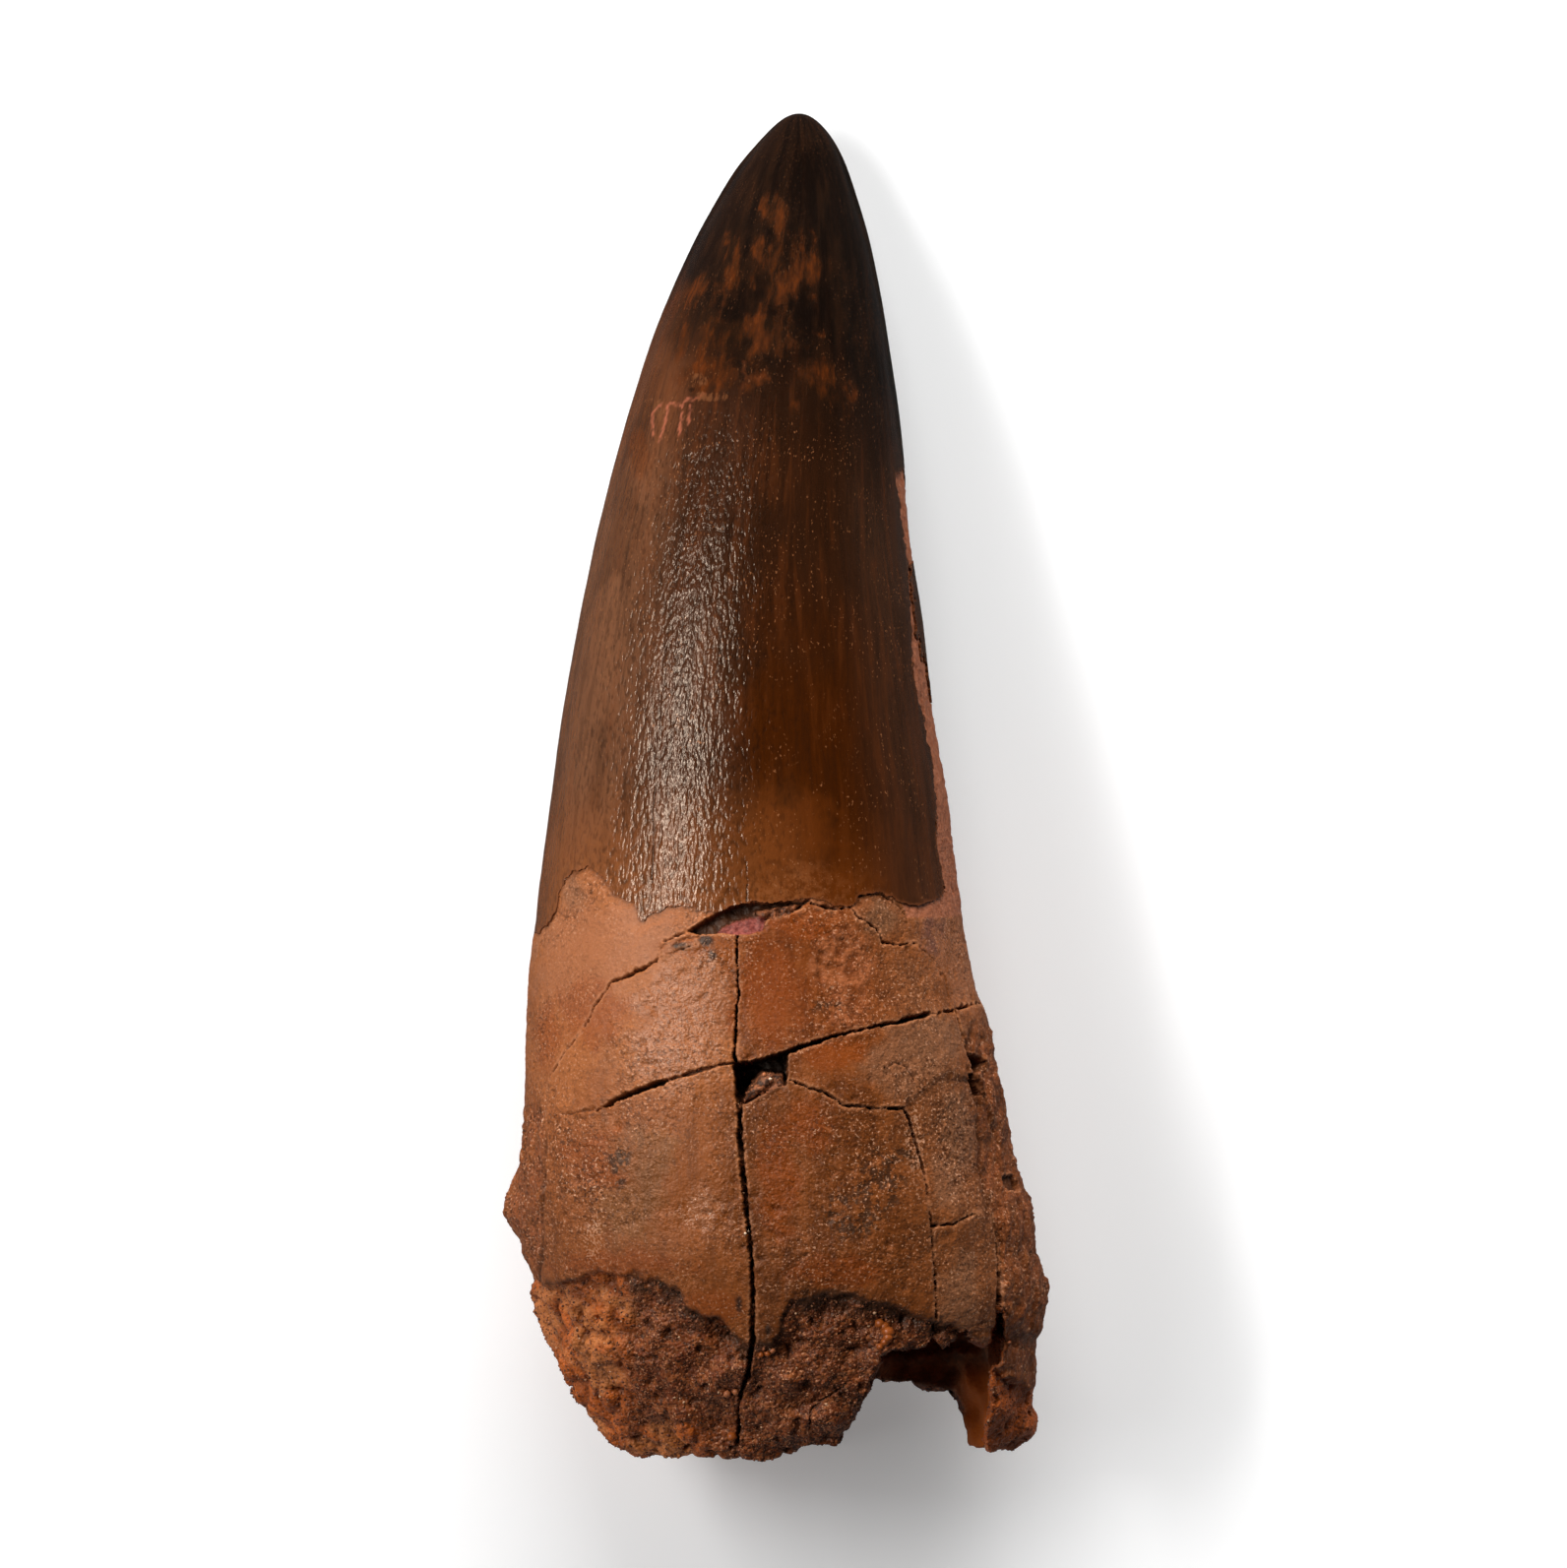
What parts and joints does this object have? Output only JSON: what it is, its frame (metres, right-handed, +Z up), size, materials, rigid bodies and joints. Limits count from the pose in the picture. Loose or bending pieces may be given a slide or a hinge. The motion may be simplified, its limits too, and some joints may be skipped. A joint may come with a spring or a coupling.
{
  "type": "fossil spinosaurus tooth",
  "caption": "Large rooted fossil tooth lying on its side: curved enamelled crown, cracked root with a sandy crust, broken root end with an open pulp hollow.",
  "frame": {"origin": "centre of the tooth's outline seen from above, at the height of the surface that it lies on", "axes": "+Y along the tooth towards the tip of the crown, +X to the side of the chipped cutting edge and the open pulp hollow, +Z up, away from the surface that it lies on"},
  "size_m": [0.0521, 0.1299, 0.0363],
  "materials": {
    "fossil": "glossy dark brown enamel crown, satin orange-brown root, rough sandy crust at the broken end"
  },
  "bodies": {
    "root": {"tooth": "fossil"}
  },
  "joints": []
}
